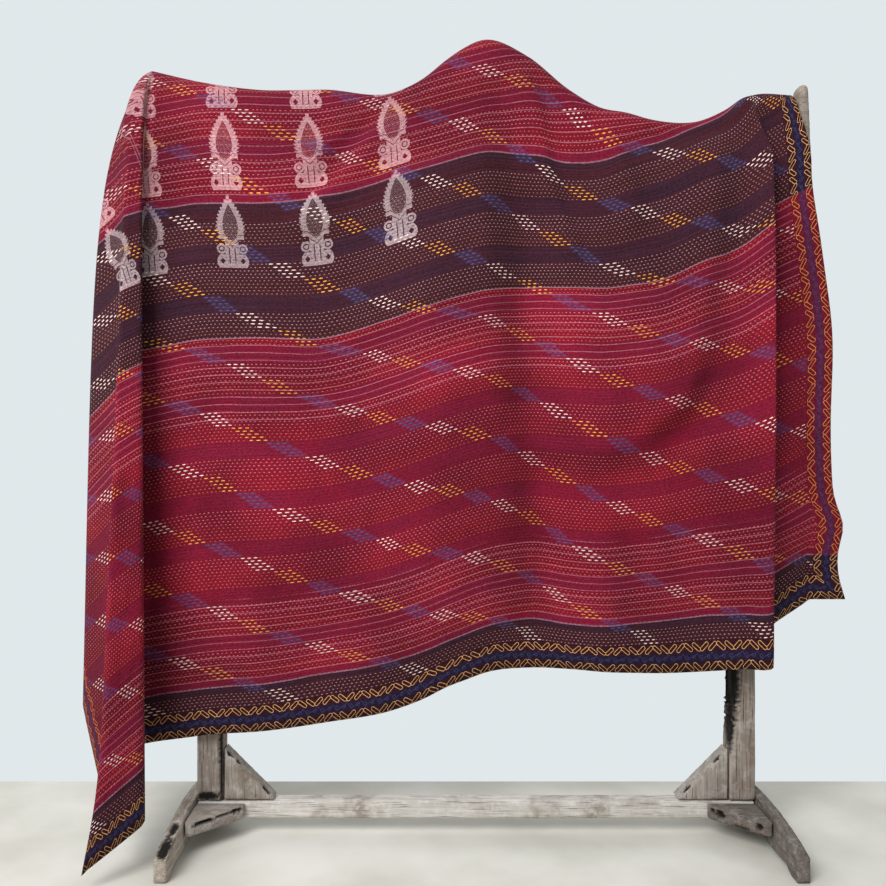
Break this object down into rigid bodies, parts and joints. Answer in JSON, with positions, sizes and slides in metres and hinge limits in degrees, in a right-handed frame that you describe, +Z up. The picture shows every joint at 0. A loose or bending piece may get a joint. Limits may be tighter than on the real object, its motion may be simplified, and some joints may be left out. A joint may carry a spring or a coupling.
{
  "type": "kantha quilt draped over its wooden rack",
  "caption": "Thin stitched cotton quilt with striped bands and an embroidered border, hung over a wooden stand with a crested rail, uprights, a low stretcher and arched feet.",
  "frame": {"origin": "on the floor, in the middle of the bounding box of the quilt and rack together", "axes": "+Z up, +X to the rack's right as seen from the front, -Y towards the front, where the quilt's long drop hangs"},
  "size_m": [1.3862, 0.4153, 1.4327],
  "materials": {
    "quilted_cotton": "matt crimson and plum striped cotton with rows of running stitch",
    "rail_teak": "bare weathered teak",
    "weathered_teak": "bare silver-grey weathered teak with brown and black patches"
  },
  "bodies": {
    "root": {"quilt": "quilted_cotton", "top_rail": "rail_teak", "post_left": "weathered_teak", "post_right": "weathered_teak", "stretcher": "weathered_teak", "foot_left": "weathered_teak", "foot_right": "weathered_teak", "gusset_left": "weathered_teak", "gusset_right": "weathered_teak", "brace_front_left": "weathered_teak", "brace_front_right": "weathered_teak", "brace_back_left": "weathered_teak", "brace_back_right": "weathered_teak"}
  },
  "joints": []
}
